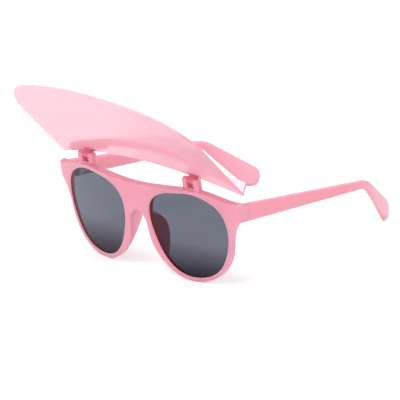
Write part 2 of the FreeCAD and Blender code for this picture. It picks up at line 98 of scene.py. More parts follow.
def new_group(name, inputs, outputs):
    """An empty shader group with named value sockets and a Vector input."""
    group = bpy.data.node_groups.new(name, "ShaderNodeTree")
    group.interface.new_socket("Vector", in_out="INPUT", socket_type="NodeSocketVector")
    for label, value in inputs.items():
        socket = group.interface.new_socket(label, in_out="INPUT", socket_type="NodeSocketFloat")
        socket.default_value = value
    for label in outputs:
        group.interface.new_socket(label, in_out="OUTPUT", socket_type="NodeSocketFloat")
    return group, group.nodes.new("NodeGroupInput"), group.nodes.new("NodeGroupOutput")


# %% Moulded grain group
MOTTLE_NOISE = (0.3, 0.7)
grain_group, grain_in, grain_out = new_group(
    "moulded_grain", {"Grain Scale": 2600.0, "Mottle Scale": 70.0}, ["Grain", "Mottle"]
)
fine = add_node(grain_group, "ShaderNodeTexNoise", Detail=3.0, Roughness=0.6)
slow = add_node(grain_group, "ShaderNodeTexNoise", Detail=2.0, Roughness=0.5)
slow_range = mapped(grain_group, *MOTTLE_NOISE)
for noise, scale in ((fine, "Grain Scale"), (slow, "Mottle Scale")):
    join(grain_group, grain_in, "Vector", noise, "Vector")
    join(grain_group, grain_in, scale, noise, "Scale")
join(grain_group, fine, "Fac", grain_out, "Grain")
join(grain_group, slow, "Fac", slow_range, "Value")
join(grain_group, slow_range, "Result", grain_out, "Mottle")
print("group:", grain_group.name, len(grain_group.nodes), "nodes")

# %% [markdown]
# ## Handling marks
# Fingers and cloths leave short scuffs that lie in patches. They could be drawn one by one. A noise
# stretched along one direction gives scuffs, a slow noise gives the patches, and their product keeps
# the scuffs inside the patches.

# %% Handling marks group
SCUFF_STRETCH = (1.0, 0.06, 0.35)
SCUFF_TURN = (0.4, 0.2, 0.7)
SCUFF_NOISE = (0.58, 0.74)
PATCH_NOISE = (0.4, 0.7)
marks_group, marks_in, marks_out = new_group(
    "handling_marks", {"Mark Scale": 900.0, "Cover": 0.4}, ["Marks"]
)
stretch = add_node(marks_group, "ShaderNodeMapping", Scale=SCUFF_STRETCH, Rotation=SCUFF_TURN)
scratch = add_node(marks_group, "ShaderNodeTexNoise", Detail=2.0, Roughness=0.7)
patch = add_node(marks_group, "ShaderNodeTexNoise", Scale=55.0, Detail=3.0, Roughness=0.6)
scratch_range = mapped(marks_group, *SCUFF_NOISE)
patch_range = mapped(marks_group, *PATCH_NOISE)
join(marks_group, marks_in, "Vector", stretch, "Vector")
join(marks_group, stretch, "Vector", scratch, "Vector")
join(marks_group, marks_in, "Mark Scale", scratch, "Scale")
join(marks_group, marks_in, "Vector", patch, "Vector")
join(marks_group, scratch, "Fac", scratch_range, "Value")
join(marks_group, patch, "Fac", patch_range, "Value")
both = calculated(marks_group, "MULTIPLY", (scratch_range, "Result"), (patch_range, "Result"))
covered = calculated(marks_group, "MULTIPLY", (both, "Value"), (marks_in, "Cover"))
join(marks_group, covered, "Value", marks_out, "Marks")
print("group:", marks_group.name, len(marks_group.nodes), "nodes")

# %% [markdown]
# ## Rubbed and highlit edges
# The edges are painted paler than the faces: a painted highlight where light comes in from two sides,
# together with the wear where hands rub them. They could be painted along every edge. Here the Bevel node
# gives the normal that a rounded edge would have, and where that differs from the true normal there is an
# edge. A noise breaks it up.

# %% Rubbed and highlit edges group
FLAT_AGREEMENT = 0.995
EDGE_AGREEMENT = 0.92
BREAKUP_NOISE = (0.35, 0.65)
LEAST_EDGE_PALING = 0.6
edge_highlight_group, edge_in, edge_out = new_group(
    "rubbed_and_highlit_edges", {"Width": 0.4 * MM, "Breakup": 400.0}, ["Edge"]
)
rounded = edge_highlight_group.nodes.new("ShaderNodeBevel")
true_face = edge_highlight_group.nodes.new("ShaderNodeNewGeometry")
agreement = edge_highlight_group.nodes.new("ShaderNodeVectorMath")
agreement.operation = "DOT_PRODUCT"
turned = mapped(edge_highlight_group, FLAT_AGREEMENT, EDGE_AGREEMENT)
uneven = add_node(edge_highlight_group, "ShaderNodeTexNoise", Detail=2.0)
uneven_range = mapped(edge_highlight_group, *BREAKUP_NOISE, LEAST_EDGE_PALING, 1.0)
join(edge_highlight_group, edge_in, "Width", rounded, "Radius")
join(edge_highlight_group, rounded, "Normal", agreement, 0)
join(edge_highlight_group, true_face, "Normal", agreement, 1)
join(edge_highlight_group, agreement, "Value", turned, "Value")
join(edge_highlight_group, edge_in, "Vector", uneven, "Vector")
join(edge_highlight_group, edge_in, "Breakup", uneven, "Scale")
join(edge_highlight_group, uneven, "Fac", uneven_range, "Value")
# Painted edge highlight, broken up like rubbing wear.
highlight_and_wear = calculated(edge_highlight_group, "MULTIPLY", (turned, "Result"), (uneven_range, "Result"))
join(edge_highlight_group, highlight_and_wear, "Value", edge_out, "Edge")
print("group:", edge_highlight_group.name, len(edge_highlight_group.nodes), "nodes")

# %% [markdown]
# ## Pink plastic
# All the plastic is one milky pink. Light goes a little way into it and comes out pinker, and
# subsurface scattering gives that. One function makes every pink: it takes two shades that the mottle
# runs between, the paler colour of the edges (painted highlight together with rubbing), the gloss, and
# how much light goes in and how deep.

# %% Helpers for materials


def new_material(name):
    """A material with its tree, its Principled shader and its Object coordinates."""
    material = bpy.data.materials.new(name)
    material.use_nodes = True
    tree = material.node_tree
    shader = tree.nodes["Principled BSDF"]
    place = tree.nodes.new("ShaderNodeTexCoord")
    return material, tree, shader, place


def placed(tree, place, group, **values):
    """A shared group in a material, on Object coordinates, with its own values."""
    node = tree.nodes.new("ShaderNodeGroup")
    node.node_tree = group
    for name, value in values.items():
        node.inputs[name.replace("_", " ")].default_value = value
    join(tree, place, "Object", node, "Vector")
    return node


def blended(tree, factor, output, colour):
    """A Mix node that runs to a colour with a node's value."""
    mix = tree.nodes.new("ShaderNodeMix")
    mix.data_type = "RGBA"
    mix.inputs["B"].default_value = (*colour, 1.0)
    join(tree, factor, output, mix, "Factor")
    return mix


def shaded(tree, shader, factor, output, low, high):
    """Base colour that runs between two shades with a group's value."""
    mix = blended(tree, factor, output, high)
    mix.inputs["A"].default_value = (*low, 1.0)
    tree.links.new(mix.outputs["Result"], shader.inputs["Base Color"])


def recoloured(tree, shader, factor, output, colour):
    """The base colour so far, running to another colour with a node's value."""
    base = shader.inputs["Base Color"]
    mix = blended(tree, factor, output, colour)
    tree.links.new(base.links[0].from_socket, mix.inputs["A"])
    tree.links.new(mix.outputs["Result"], base)


def roughened(tree, shader, factor, output, low, high):
    """Roughness that runs between two values with a group's value."""
    spread = mapped(tree, 0.0, 1.0, low, high)
    join(tree, factor, output, spread, "Value")
    join(tree, spread, "Result", shader, "Roughness")


def bumped(tree, shader, factor, output, strength, height, edge):
    """Fine relief from a group's value, on edges that a mould leaves rounded by a small radius."""
    bump = add_node(tree, "ShaderNodeBump", Strength=strength, Distance=height)
    softened = add_node(tree, "ShaderNodeBevel", Radius=edge)
    join(tree, softened, "Normal", bump, "Normal")
    join(tree, factor, output, bump, "Height")
    join(tree, bump, "Normal", shader, "Normal")


# %% Milky plastic
SATIN = (0.36, 0.46)
MOTTLE_SCALE = 60.0
MARK_SCALE = 700.0
MARK_COVER = 0.5
PALE_EDGE = 0.7 * MM
GRAIN_HEIGHT = 0.02 * MM
MOULD_ROUNDING = 0.3 * MM
DEPTH_BY_COLOUR = (1.0, 0.42, 0.5)
PLASTIC_IOR = 1.49


def pink_plastic(
    name, low, high, edge, rough=SATIN, glow=0.3, depth=1.5 * MM, grain=2600.0, relief=0.12
):
    """Milky plastic between two shades, with a paler edge colour for painted highlight and rubbing,
    roughness, light inside and grain.
    """
    material, tree, shader, place = new_material(name)
    mould = placed(tree, place, grain_group, Grain_Scale=grain, Mottle_Scale=MOTTLE_SCALE)
    marks = placed(tree, place, marks_group, Mark_Scale=MARK_SCALE, Cover=MARK_COVER)
    # Paler edges: a painted highlight together with rubbing wear.
    edges = placed(tree, place, edge_highlight_group, Width=PALE_EDGE)
    shaded(tree, shader, mould, "Mottle", low, high)
    recoloured(tree, shader, edges, "Edge", edge)
    roughened(tree, shader, marks, "Marks", *rough)
    bumped(tree, shader, mould, "Grain", relief, GRAIN_HEIGHT, MOULD_ROUNDING)
    shader.inputs["Subsurface Weight"].default_value = glow
    shader.inputs["Subsurface Radius"].default_value = DEPTH_BY_COLOUR
    shader.inputs["Subsurface Scale"].default_value = depth
    shader.inputs["IOR"].default_value = PLASTIC_IOR
    print("plastic:", material.name, len(tree.nodes), "nodes")
    return material


# %% [markdown]
# ## Plastic of the front and the arms
# The front and the nose pads have a satin skin and glow a little. The arms are denser and stronger in
# colour, and are painted paler towards their tips: painted light, for the front of the arms lies in the
# brim's shade and their rear gets more light. A second material for the tips would leave a seam, so the
# colour fades along the depth of the object.

# %% Pinks of the front and the arms
FADE_START = 45.0 * MM
FADE_END = 100.0 * MM
satin_pink = pink_plastic(
    "satin_pink",
    low=(0.925, 0.367, 0.484),
    high=(0.94, 0.387, 0.504),
    edge=(0.98, 0.60, 0.72),
    glow=0.8,
    depth=2.5 * MM,
)
arm_pink = pink_plastic(
    "arm_pink",
    low=(0.975, 0.337, 0.437),
    high=(0.985, 0.355, 0.455),
    edge=(0.99, 0.50, 0.61),
)


def painted_paler_towards_back(material, start, end, colour):
    """Painted light: another colour towards the back of a material's pieces, along the depth of the
    object.
    """
    tree = material.node_tree
    depth = tree.nodes.new("ShaderNodeSeparateXYZ")
    fade = mapped(tree, start, end)
    join(tree, tree.nodes["Texture Coordinate"], "Object", depth, "Vector")
    join(tree, depth, "Y", fade, "Value")
    recoloured(tree, tree.nodes["Principled BSDF"], fade, "Result", colour)


# Painted light: the arms run paler towards their better lit rear ends.
painted_paler_towards_back(arm_pink, FADE_START, FADE_END, (0.985, 0.47, 0.58))

# %% [markdown]
# ## Plastic of the brim
# The brim is a thin, clearer sheet with a glossy skin, so that its underside mirrors the front. It is
# thin enough to glow. Its lip is painted paler, a painted highlight where it catches the light, its cut
# rim is a little darker, and the thick knuckles are painted deep pink, a painted shade of the hollow
# under the brim. These are pinks of their own, chosen face by face on the brim later on.

# %% Pinks of the brim
DULL = (0.4, 0.5)
GLOSSY = (0.09, 0.15)
CLEAR_SHEET = {"rough": GLOSSY, "glow": 0.9, "depth": 3.0 * MM, "grain": 1800.0, "relief": 0.05}
brim_pink = pink_plastic(
    "brim_pink",
    low=(0.98, 0.51, 0.605),
    high=(0.985, 0.525, 0.62),
    edge=(0.98, 0.60, 0.70),
    **CLEAR_SHEET,
)
# Painted highlight: the lip is paler where it catches the light.
lip_highlight_pink = pink_plastic(
    "lip_highlight_pink",
    low=(0.985, 0.77, 0.85),
    high=(0.99, 0.80, 0.87),
    edge=(0.98, 0.66, 0.76),
    **CLEAR_SHEET,
)
rim_pink = pink_plastic(
    "rim_pink",
    low=(0.93, 0.39, 0.49),
    high=(0.94, 0.41, 0.51),
    edge=(0.94, 0.45, 0.55),
)
# Painted shade: the knuckles and the hinge webs are deep pink, as in the shade under the brim.
knuckle_shade_pink = pink_plastic(
    "knuckle_shade_pink",
    low=(0.82, 0.17, 0.25),
    high=(0.84, 0.19, 0.28),
    edge=(0.86, 0.25, 0.34),
    rough=DULL,
)

# %% [markdown]
# ## Plastic round the lenses
# The bevels of the openings and the ears on the brow are polished, without pale edges, and a little
# deeper in colour, which on the ears is painted shade. Behind the lens the wall of the rim looks deep red
# through the gray, because light comes through the plastic from outside. Scattering alone brings too
# little light so far, so the wall is painted deep red and the wall and the lens groove have a red glow of
# their own, painted light. It is set for the view through the gray: from behind, with nothing before it,
# the wall is a strong red line.

# %% Pinks round the lenses
POLISHED = (0.12, 0.2)
MATT = (0.5, 0.6)
# Painted light: the wall behind the lens is deep red, standing in for light that comes through the
# plastic.
wall_red = pink_plastic(
    "wall_red",
    low=(0.92, 0.05, 0.085),
    high=(0.95, 0.06, 0.095),
    edge=(0.95, 0.08, 0.12),
    rough=DULL,
)
bevel_pink = pink_plastic(
    "bevel_pink",
    low=(0.90, 0.33, 0.44),
    high=(0.91, 0.34, 0.45),
    edge=(0.91, 0.36, 0.47),
    rough=POLISHED,
    glow=0.5,
)
groove_pink = pink_plastic(
    "groove_pink",
    low=(0.86, 0.25, 0.34),
    high=(0.88, 0.27, 0.37),
    edge=(0.88, 0.27, 0.37),
    rough=MATT,
)


def painted_glow(material, colour, strength):
    """A painted glow of its own, standing in for light through plastic that is lit from behind."""
    shader = material.node_tree.nodes["Principled BSDF"]
    shader.inputs["Emission Color"].default_value = (*colour, 1.0)
    shader.inputs["Emission Strength"].default_value = strength


# Painted light: the groove and the wall glow red.
painted_glow(groove_pink, (1.0, 0.11, 0.16), 0.5)
painted_glow(wall_red, (1.0, 0.04, 0.09), 0.45)

# %% [markdown]
# ## Smoke lenses
# The lenses are thin gray sheets, painted darker towards the bottom: painted shade of the shaded floor
# that shows through their lower part. Real tint is in the sheet, and a colour on
# a see through Principled shader gives the same gray in any light. A gradient down the object's height
# makes it darker below, and faint wiping marks change the gloss. A low index of refraction keeps the
# white studio from washing the gray out.

# %% Smoke of the lenses
# Painted shade: the lowest stop darkens the bottom of the lenses, where the shaded floor shows through.
SMOKE_AND_SHADE = {0.05: (0.03, 0.028, 0.04), 0.42: (0.124, 0.131, 0.168), 0.75: (0.118, 0.13, 0.162)}
WIPED_GLOSS = (0.015, 0.05)
LENS_IOR = 1.18
lens_low, lens_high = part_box("left_lens")
smoke_lens, lens_tree, lens_shader, lens_place = new_material("lens_smoke")
height = lens_tree.nodes.new("ShaderNodeSeparateXYZ")
height_range = mapped(lens_tree, lens_low.z, lens_high.z)
join(lens_tree, lens_place, "Object", height, "Vector")
join(lens_tree, height, "Z", height_range, "Value")
tint_and_shade = lens_tree.nodes.new("ShaderNodeValToRGB")
for share, shade in SMOKE_AND_SHADE.items():
    stop = tint_and_shade.color_ramp.elements.new(share)
    stop.color = (*shade, 1.0)
for spare in (tint_and_shade.color_ramp.elements[-1], tint_and_shade.color_ramp.elements[0]):
    tint_and_shade.color_ramp.elements.remove(spare)
join(lens_tree, height_range, "Result", tint_and_shade, "Fac")
join(lens_tree, tint_and_shade, "Color", lens_shader, "Base Color")
wiped = placed(lens_tree, lens_place, marks_group, Mark_Scale=300.0, Cover=1.0)
roughened(lens_tree, lens_shader, wiped, "Marks", *WIPED_GLOSS)
lens_shader.inputs["Transmission Weight"].default_value = 1.0
lens_shader.inputs["IOR"].default_value = LENS_IOR
print("lens:", smoke_lens.name, len(tint_and_shade.color_ramp.elements), "stops of smoke")

# %% [markdown]
# ## Rolled steel
# The leaves, screws and pins are plain steel that was rolled and turned. It could be left an even gray,
# but then small parts look like plastic. The shared grain varies its shade and gives a fine relief, and
# the shared marks, at a small scale, brush its gloss.

# %% Steel of the hinges
hinge_steel, steel_tree, steel_shader, steel_place = new_material("rolled_steel")
brushed = placed(steel_tree, steel_place, marks_group, Mark_Scale=5000.0, Cover=1.0)
rolled = placed(steel_tree, steel_place, grain_group, Grain_Scale=9000.0, Mottle_Scale=400.0)
shaded(steel_tree, steel_shader, rolled, "Mottle", low=(0.52, 0.53, 0.55), high=(0.66, 0.67, 0.69))
roughened(steel_tree, steel_shader, brushed, "Marks", low=0.28, high=0.5)
bumped(steel_tree, steel_shader, rolled, "Grain", strength=0.1, height=0.004 * MM, edge=0.05 * MM)
steel_shader.inputs["Metallic"].default_value = 1.0
print("steel:", hinge_steel.name, len(steel_tree.nodes), "nodes")

# %% [markdown]
# ## Moulded skins
# The front, the brim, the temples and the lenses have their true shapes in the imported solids, but those
# are loose triangles with hard shading. A copy with its doubled points merged can be shaded smooth up
# to a crease angle, with normals weighted by face size, so that flat faces stay flat and the narrow
# bevels round off into soft moulded edges.

# %% Helpers for pieces
SAME_POINT = 0.0005 * MM


def merged(node):
    """A copy of a solid with its doubled points merged."""
    shape = bmesh.new()
    shape.from_mesh(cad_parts[node].data)
    bmesh.ops.remove_doubles(shape, verts=shape.verts, dist=SAME_POINT)
    return shape


def smooth_mesh(shape, name):
    """The mesh of an edited shape, shaded smooth, without normals stored for the solid."""
    mesh = bpy.data.meshes.new(name)
    shape.to_mesh(mesh)
    shape.free()
    if "custom_normal" in mesh.attributes:
        mesh.attributes.remove(mesh.attributes["custom_normal"])
    mesh.shade_smooth()
    return mesh


def shown(name, mesh, body, slot, material, *nodes):
    """A finished mesh as a piece that rides on a body and stands for solids."""
    mesh.materials.clear()
    mesh.materials.append(material)
    piece = bpy.data.objects.new(name, mesh)
    scene.collection.objects.link(piece)
    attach(piece, body)
    if nodes:
        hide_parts(*nodes)
    print(name, len(mesh.polygons), "faces on", body)
    return piece


def skin(node, body, slot, material, crease):
    """A merged, smoothly shaded copy of a solid."""
    mesh = smooth_mesh(merged(node), node + "_skin")
    mesh.set_sharp_from_angle(angle=math.radians(crease))
    piece = shown(node + "_skin", mesh, body, slot, material, node)
    even = piece.modifiers.new("even_normals", "WEIGHTED_NORMAL")
    even.keep_sharp = True
    return piece


# %% Skins of the moulded pieces
SIDES = ("left", "right")
PLASTIC_CREASE = 58
LENS_CREASE = 40
lenses = {}
front = skin("frame_front", "front", "frame_pink", satin_pink, PLASTIC_CREASE)
brim = skin("visor", "visor", "visor_pink", brim_pink, PLASTIC_CREASE)
for side in SIDES:
    skin(side + "_temple", side + "_temple", "frame_pink", arm_pink, PLASTIC_CREASE)
    lenses[side] = skin(side + "_lens", "front", "smoke_lens", smoke_lens, LENS_CREASE)

# %% [markdown]
# ## Parts of the brim
# The lip, the cut rim and the knuckles of the brim are one moulding with its sheet, so they stay one
# mesh. Their faces could be picked by hand. A rule is safer when the sizes change: knuckles lie close
# to the pins, and the others are known by how nearly they face the way the sheet does.

# %% Finishes on the brim
BRIM_TILT = math.radians(47.3)
KNUCKLE_REACH = 3.3 * MM
LEAST_LIP_FACING, MOST_LIP_FACING = 0.2, 0.45
MOST_RIM_FACING = 0.78
SIDE_RIM = 64.0 * MM


def finishes_added(piece, *materials):
    """More finishes on a piece, and their places in its list."""
    first = len(piece.data.materials)
    for material in materials:
        piece.data.materials.append(material)
    return range(first, first + len(materials))


on_lip_highlight, on_rim, on_knuckle_shade = finishes_added(brim, lip_highlight_pink, rim_pink, knuckle_shade_pink)
pin_low, pin_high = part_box("left_visor_pin")
pin_middle = (pin_low + pin_high) / 2
sheet_normal = Vector((0.0, math.sin(BRIM_TILT), math.cos(BRIM_TILT)))
for face in brim.data.polygons:
    facing = abs(face.normal.dot(sheet_normal))
    like_lip = LEAST_LIP_FACING < facing < MOST_LIP_FACING
    # Painted shade on the knuckles.
    if (face.center - pin_middle).yz.length < KNUCKLE_REACH:
        face.material_index = on_knuckle_shade
    elif facing < MOST_RIM_FACING and abs(face.center.x) > SIDE_RIM and not like_lip:
        face.material_index = on_rim
    # Painted highlight on the lip faces that face forward.
    elif like_lip and face.normal.y < 0.0:
        face.material_index = on_lip_highlight
print("brim finishes:", [material.name for material in brim.data.materials])

# %% [markdown]
# ## Parts of the front
# Round each lens the front has a groove, a wall behind the lens and a bevel before it, and it has four
# ears on the brow. They are found by rule too: a search tree of the lens gives each face's distance
# from it, and the way a face points, towards the lens's middle or forward, tells walls from bevels.

# %% Finishes on the front
GROOVE_GAP = 0.3 * MM
WALL_REACH = 2.5 * MM
LEAST_INWARD = 10.0 * MM
BEVEL_FRONT, BEVEL_BACK = -0.9, -0.4
WALL_SLOPE = 0.4
EAR_HALF_WIDTH = 5.5 * MM
EAR_REACH = 3.9 * MM


def search_tree(piece):
    """A tree that finds the nearest point on a piece."""
    points = [vertex.co for vertex in piece.data.vertices]
    return BVHTree.FromPolygons(points, [face.vertices for face in piece.data.polygons])


in_groove, on_wall, on_bevel = finishes_added(front, groove_pink, wall_red, bevel_pink)
for side in SIDES:
    near = search_tree(lenses[side])
    lens_middle = sum(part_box(side + "_lens"), Vector()) / 2
    for face in front.data.polygons:
        gap = near.find_nearest(face.center, WALL_REACH)[3]
        if gap is None:
            continue
        inward = face.normal.dot(lens_middle - face.center) > LEAST_INWARD
        if gap < GROOVE_GAP:
            face.material_index = in_groove
        elif inward and BEVEL_FRONT < face.normal.y < BEVEL_BACK:
            face.material_index = on_bevel
        elif inward and abs(face.normal.y) < WALL_SLOPE:
            face.material_index = on_wall
# Painted shade: the ears on the brow take the deeper bevel pink.
for face in front.data.polygons:
    across = abs(abs(face.center.x) - pin_middle.x)
    if across < EAR_HALF_WIDTH and (face.center - pin_middle).yz.length < EAR_REACH:
        face.material_index = on_bevel
print("front finishes:", [material.name for material in front.data.materials])

# %% [markdown]
# ## Nose pads
# The pads are soft ears that grow out of the rims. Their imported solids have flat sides, which is the
# right size but not the right touch. They could be sculpted by hand. Here each solid is the start of a
# cage for a subdivision surface. Subdividing pulls a cage in, so the cage is pushed out, a few times
# over, until the rounded surface passes through the corners of the solid again.

# %% Cage of a nose pad
PAD_LEVELS = 4
FLAT_ENOUGH = math.radians(4)


def pad_cage(node):
    """The corners and sides of a pad's solid, under a subdivision that keeps the outline on the rim."""
    shape = merged(node)
    bmesh.ops.dissolve_limit(shape, angle_limit=FLAT_ENOUGH, verts=shape.verts, edges=shape.edges)
    shape.normal_update()
    root_edges = set(min(shape.faces, key=lambda face: face.normal.y).edges)
    crease = shape.edges.layers.float.new("crease_edge")
    for edge in shape.edges:
        edge[crease] = 1.0 if edge in root_edges else 0.0
    cage = bpy.data.objects.new(node + "_cage", smooth_mesh(shape, node + "_cage"))
    scene.collection.objects.link(cage)
    rounding = cage.modifiers.new("rounding", "SUBSURF")
    rounding.levels = PAD_LEVELS
    rounding.render_levels = PAD_LEVELS
    return cage


# %% Subdivided nose pads
PAD_ROUNDS = 8
PAD_PUSH = 0.5


def finished_mesh(piece):
    """What an object's modifiers make of it, as a plain mesh."""
    graph = bpy.context.evaluated_depsgraph_get()
    return bpy.data.meshes.new_from_object(piece.evaluated_get(graph))


def soft_pad(node):
    """A rounded pad through the corners of its solid, which are the surface's first points."""
    cage = pad_cage(node)
    corners = [vert.co.copy() for vert in cage.data.vertices]
    for _ in range(PAD_ROUNDS):
        surface = finished_mesh(cage)
        for vert, corner, point in zip(cage.data.vertices, corners, surface.vertices):
            vert.co += (corner - point.co) * PAD_PUSH
        cage.data.update()
        bpy.data.meshes.remove(surface)
    mesh = finished_mesh(cage)
    bpy.data.objects.remove(cage)
    shown(node + "_soft", mesh, "front", "frame_pink", satin_pink, node)


for side in SIDES:
    soft_pad(side + "_nose_pad")

# %% [markdown]
# ## Hinge hardware
# Each temple turns on a slotted steel screw in a three knuckle hinge, and the brim turns on two plain
# pins. The leaves are skins of their solids. Screws and pins come in pairs with one shape, so two small
# node trees make them: one makes a slotted screw, the other a pin with tapered ends, and both place a
# copy on each point of a two point line.

# %% Steel hinge leaves
LEAF_CREASE = 35
for side in SIDES:
    skin(side + "_front_hinge", "front", "hinge_steel", hinge_steel, LEAF_CREASE)
    skin(side + "_temple_hinge", side + "_temple", "hinge_steel", hinge_steel, LEAF_CREASE)

# %% Helpers for geometry trees
SOCKET_KINDS = {float: "NodeSocketFloat", Vector: "NodeSocketVector"}
TURNED_CREASE = 30


def new_tree(name, sizes):
    """A geometry tree with one input for each named size, and one for the material."""
    tree = bpy.data.node_groups.new(name, "GeometryNodeTree")
    tree.interface.new_socket("Geometry", in_out="OUTPUT", socket_type="NodeSocketGeometry")
    for label, value in sizes.items():
        tree.interface.new_socket(label, in_out="INPUT", socket_type=SOCKET_KINDS[type(value)])
    tree.interface.new_socket("Material", in_out="INPUT", socket_type="NodeSocketMaterial")
    return tree, tree.nodes.new("NodeGroupInput"), tree.nodes.new("NodeGroupOutput")


def paired(tree, tree_in, tree_out, shape, output):
    """Copies of a shape on both ends of a line, realized, with their material."""
    line = tree.nodes.new("GeometryNodeMeshLine")
    line.mode = "END_POINTS"
    line.inputs["Count"].default_value = 2
    join(tree, tree_in, "First Place", line, "Start Location")
    join(tree, tree_in, "Last Place", line, "Offset")
    copies = tree.nodes.new("GeometryNodeInstanceOnPoints")
    real = tree.nodes.new("GeometryNodeRealizeInstances")
    finish = tree.nodes.new("GeometryNodeSetMaterial")
    join(tree, line, "Mesh", copies, "Points")
    join(tree, shape, output, copies, "Instance")
    join(tree, copies, "Instances", real, "Geometry")
    join(tree, real, "Geometry", finish, "Geometry")
    join(tree, tree_in, "Material", finish, "Material")
    join(tree, finish, "Geometry", tree_out, "Geometry")


def grown(name, tree, sizes, material):
    """The mesh that a tree makes from the given sizes."""
    seed = bpy.data.objects.new(name + "_seed", bpy.data.meshes.new(name + "_seed"))
    scene.collection.objects.link(seed)
    modifier = seed.modifiers.new(name, "NODES")
    modifier.node_group = tree
    for item in tree.interface.items_tree:
        if item.in_out == "INPUT":
            value = material if item.name == "Material" else sizes[item.name]
            modifier[item.identifier] = value
    mesh = finished_mesh(seed)
    bpy.data.objects.remove(seed)
    mesh.name = name
    mesh.shade_smooth()
    mesh.set_sharp_from_angle(angle=math.radians(TURNED_CREASE))
    return mesh


# %% [markdown]
# ## Hinge screws
# A hinge screw is a thin shank with a tapered, slotted head. Its thread is hidden in the knuckles, so
# it is left out. It could be turned from a profile and cut by hand. The tree joins a cylinder and a
# cone and takes a bar away for the slot, so a change of size changes both screws.

# %% Sizes of the hinge screws
screw_low, screw_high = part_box("left_hinge_screw")
screw_middle = (screw_low + screw_high) / 2
screw_place = Vector((screw_middle.x, screw_middle.y, screw_low.z))
screw_sizes = {
    "First Place": Vector((-screw_place.x, screw_place.y, screw_place.z)),
    "Last Place": screw_place,
    "Shank Radius": 0.6 * MM,
    "Length": screw_high.z - screw_low.z,
    "Head Radius": (screw_high.x - screw_low.x) / 2,
    "Head Height": 0.6 * MM,
    "Slot Width": 0.4 * MM,
    "Slot Depth": 0.3 * MM,
}
print("screw length", round(screw_sizes["Length"] / MM, 2), "mm")

# %% Slotted hinge screws
HEAD_TAPER = 0.82
SHANK_MIDDLE = 0.47
SLOT_OVERSHOOT = 3.0
screw_tree, screw_in, screw_out = new_tree("slotted_screws", screw_sizes)


def lifted(tree, source, height, output):
    """A transform that raises a mesh by a node's value."""
    raised = tree.nodes.new("GeometryNodeTransform")
    lift = tree.nodes.new("ShaderNodeCombineXYZ")
    join(tree, height, output, lift, "Z")
    join(tree, lift, "Vector", raised, "Translation")
    join(tree, source, "Mesh", raised, "Geometry")
    return raised


shank = add_node(screw_tree, "GeometryNodeMeshCylinder", Vertices=24)
join(screw_tree, screw_in, "Shank Radius", shank, "Radius")
join(screw_tree, screw_in, "Length", shank, "Depth")
shank_lift = calculated(screw_tree, "MULTIPLY", (screw_in, "Length"), SHANK_MIDDLE)
head = add_node(screw_tree, "GeometryNodeMeshCone", Vertices=48)
head_top = calculated(screw_tree, "MULTIPLY", (screw_in, "Head Radius"), HEAD_TAPER)
join(screw_tree, screw_in, "Head Radius", head, "Radius Bottom")
join(screw_tree, head_top, "Value", head, "Radius Top")
join(screw_tree, screw_in, "Head Height", head, "Depth")
head_lift = calculated(screw_tree, "SUBTRACT", (screw_in, "Length"), (screw_in, "Head Height"))
bar = add_node(screw_tree, "GeometryNodeMeshCube")
bar_size = screw_tree.nodes.new("ShaderNodeCombineXYZ")
bar_length = calculated(screw_tree, "MULTIPLY", (screw_in, "Head Radius"), SLOT_OVERSHOOT)
bar_height = calculated(screw_tree, "MULTIPLY", (screw_in, "Slot Depth"), 2.0)
join(screw_tree, bar_length, "Value", bar_size, "X")
join(screw_tree, screw_in, "Slot Width", bar_size, "Y")
join(screw_tree, bar_height, "Value", bar_size, "Z")
join(screw_tree, bar_size, "Vector", bar, "Size")
union = screw_tree.nodes.new("GeometryNodeMeshBoolean")
union.operation = "UNION"
join(screw_tree, lifted(screw_tree, head, head_lift, "Value"), "Geometry", union, "Mesh 2")
join(screw_tree, lifted(screw_tree, shank, shank_lift, "Value"), "Geometry", union, "Mesh 2")
carved = screw_tree.nodes.new("GeometryNodeMeshBoolean")
carved.operation = "DIFFERENCE"
join(screw_tree, union, "Mesh", carved, "Mesh 1")
join(screw_tree, lifted(screw_tree, bar, screw_in, "Length"), "Geometry", carved, "Mesh 2")
paired(screw_tree, screw_in, screw_out, carved, "Mesh")
screw_mesh = grown("hinge_screws", screw_tree, screw_sizes, hinge_steel)
screw_nodes = ("left_hinge_screw", "right_hinge_screw")
shown("hinge_screws", screw_mesh, "front", "hinge_steel", hinge_steel, *screw_nodes)

# %% [markdown]
# ## Brow pins
# The pins are short rods with tapered ends, so that they start easily in their holes. They could be
# cylinders with bevelled edges. The tree makes a cylinder of many rings and draws in only the points
# at its two ends.

# %% Tapered brow pins
END_SHARE = 0.49
other_low, other_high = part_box("right_visor_pin")
pin_sizes = {
    "First Place": (other_low + other_high) / 2,
    "Last Place": pin_middle,
    "Radius": (pin_high.z - pin_low.z) / 2,
    "Length": pin_high.x - pin_low.x,
    "Taper": 0.75,
}
pin_tree, pin_in, pin_out = new_tree("tapered_pins", pin_sizes)
rod = add_node(pin_tree, "GeometryNodeMeshCylinder", Vertices=32, Side_Segments=24)
join(pin_tree, pin_in, "Radius", rod, "Radius")
join(pin_tree, pin_in, "Length", rod, "Depth")
point = pin_tree.nodes.new("GeometryNodeInputPosition")
parts = pin_tree.nodes.new("ShaderNodeSeparateXYZ")
join(pin_tree, point, "Position", parts, "Vector")
from_middle = calculated(pin_tree, "ABSOLUTE", (parts, "Z"), 0.0)
end_start = calculated(pin_tree, "MULTIPLY", (pin_in, "Length"), END_SHARE)
at_end = calculated(pin_tree, "GREATER_THAN", (from_middle, "Value"), (end_start, "Value"))
narrow = pin_tree.nodes.new("ShaderNodeCombineXYZ")
for axis in "XY":
    drawn_in = calculated(pin_tree, "MULTIPLY", (parts, axis), (pin_in, "Taper"))
    join(pin_tree, drawn_in, "Value", narrow, axis)
join(pin_tree, parts, "Z", narrow, "Z")
tapered = pin_tree.nodes.new("GeometryNodeSetPosition")
join(pin_tree, rod, "Mesh", tapered, "Geometry")
join(pin_tree, at_end, "Value", tapered, "Selection")
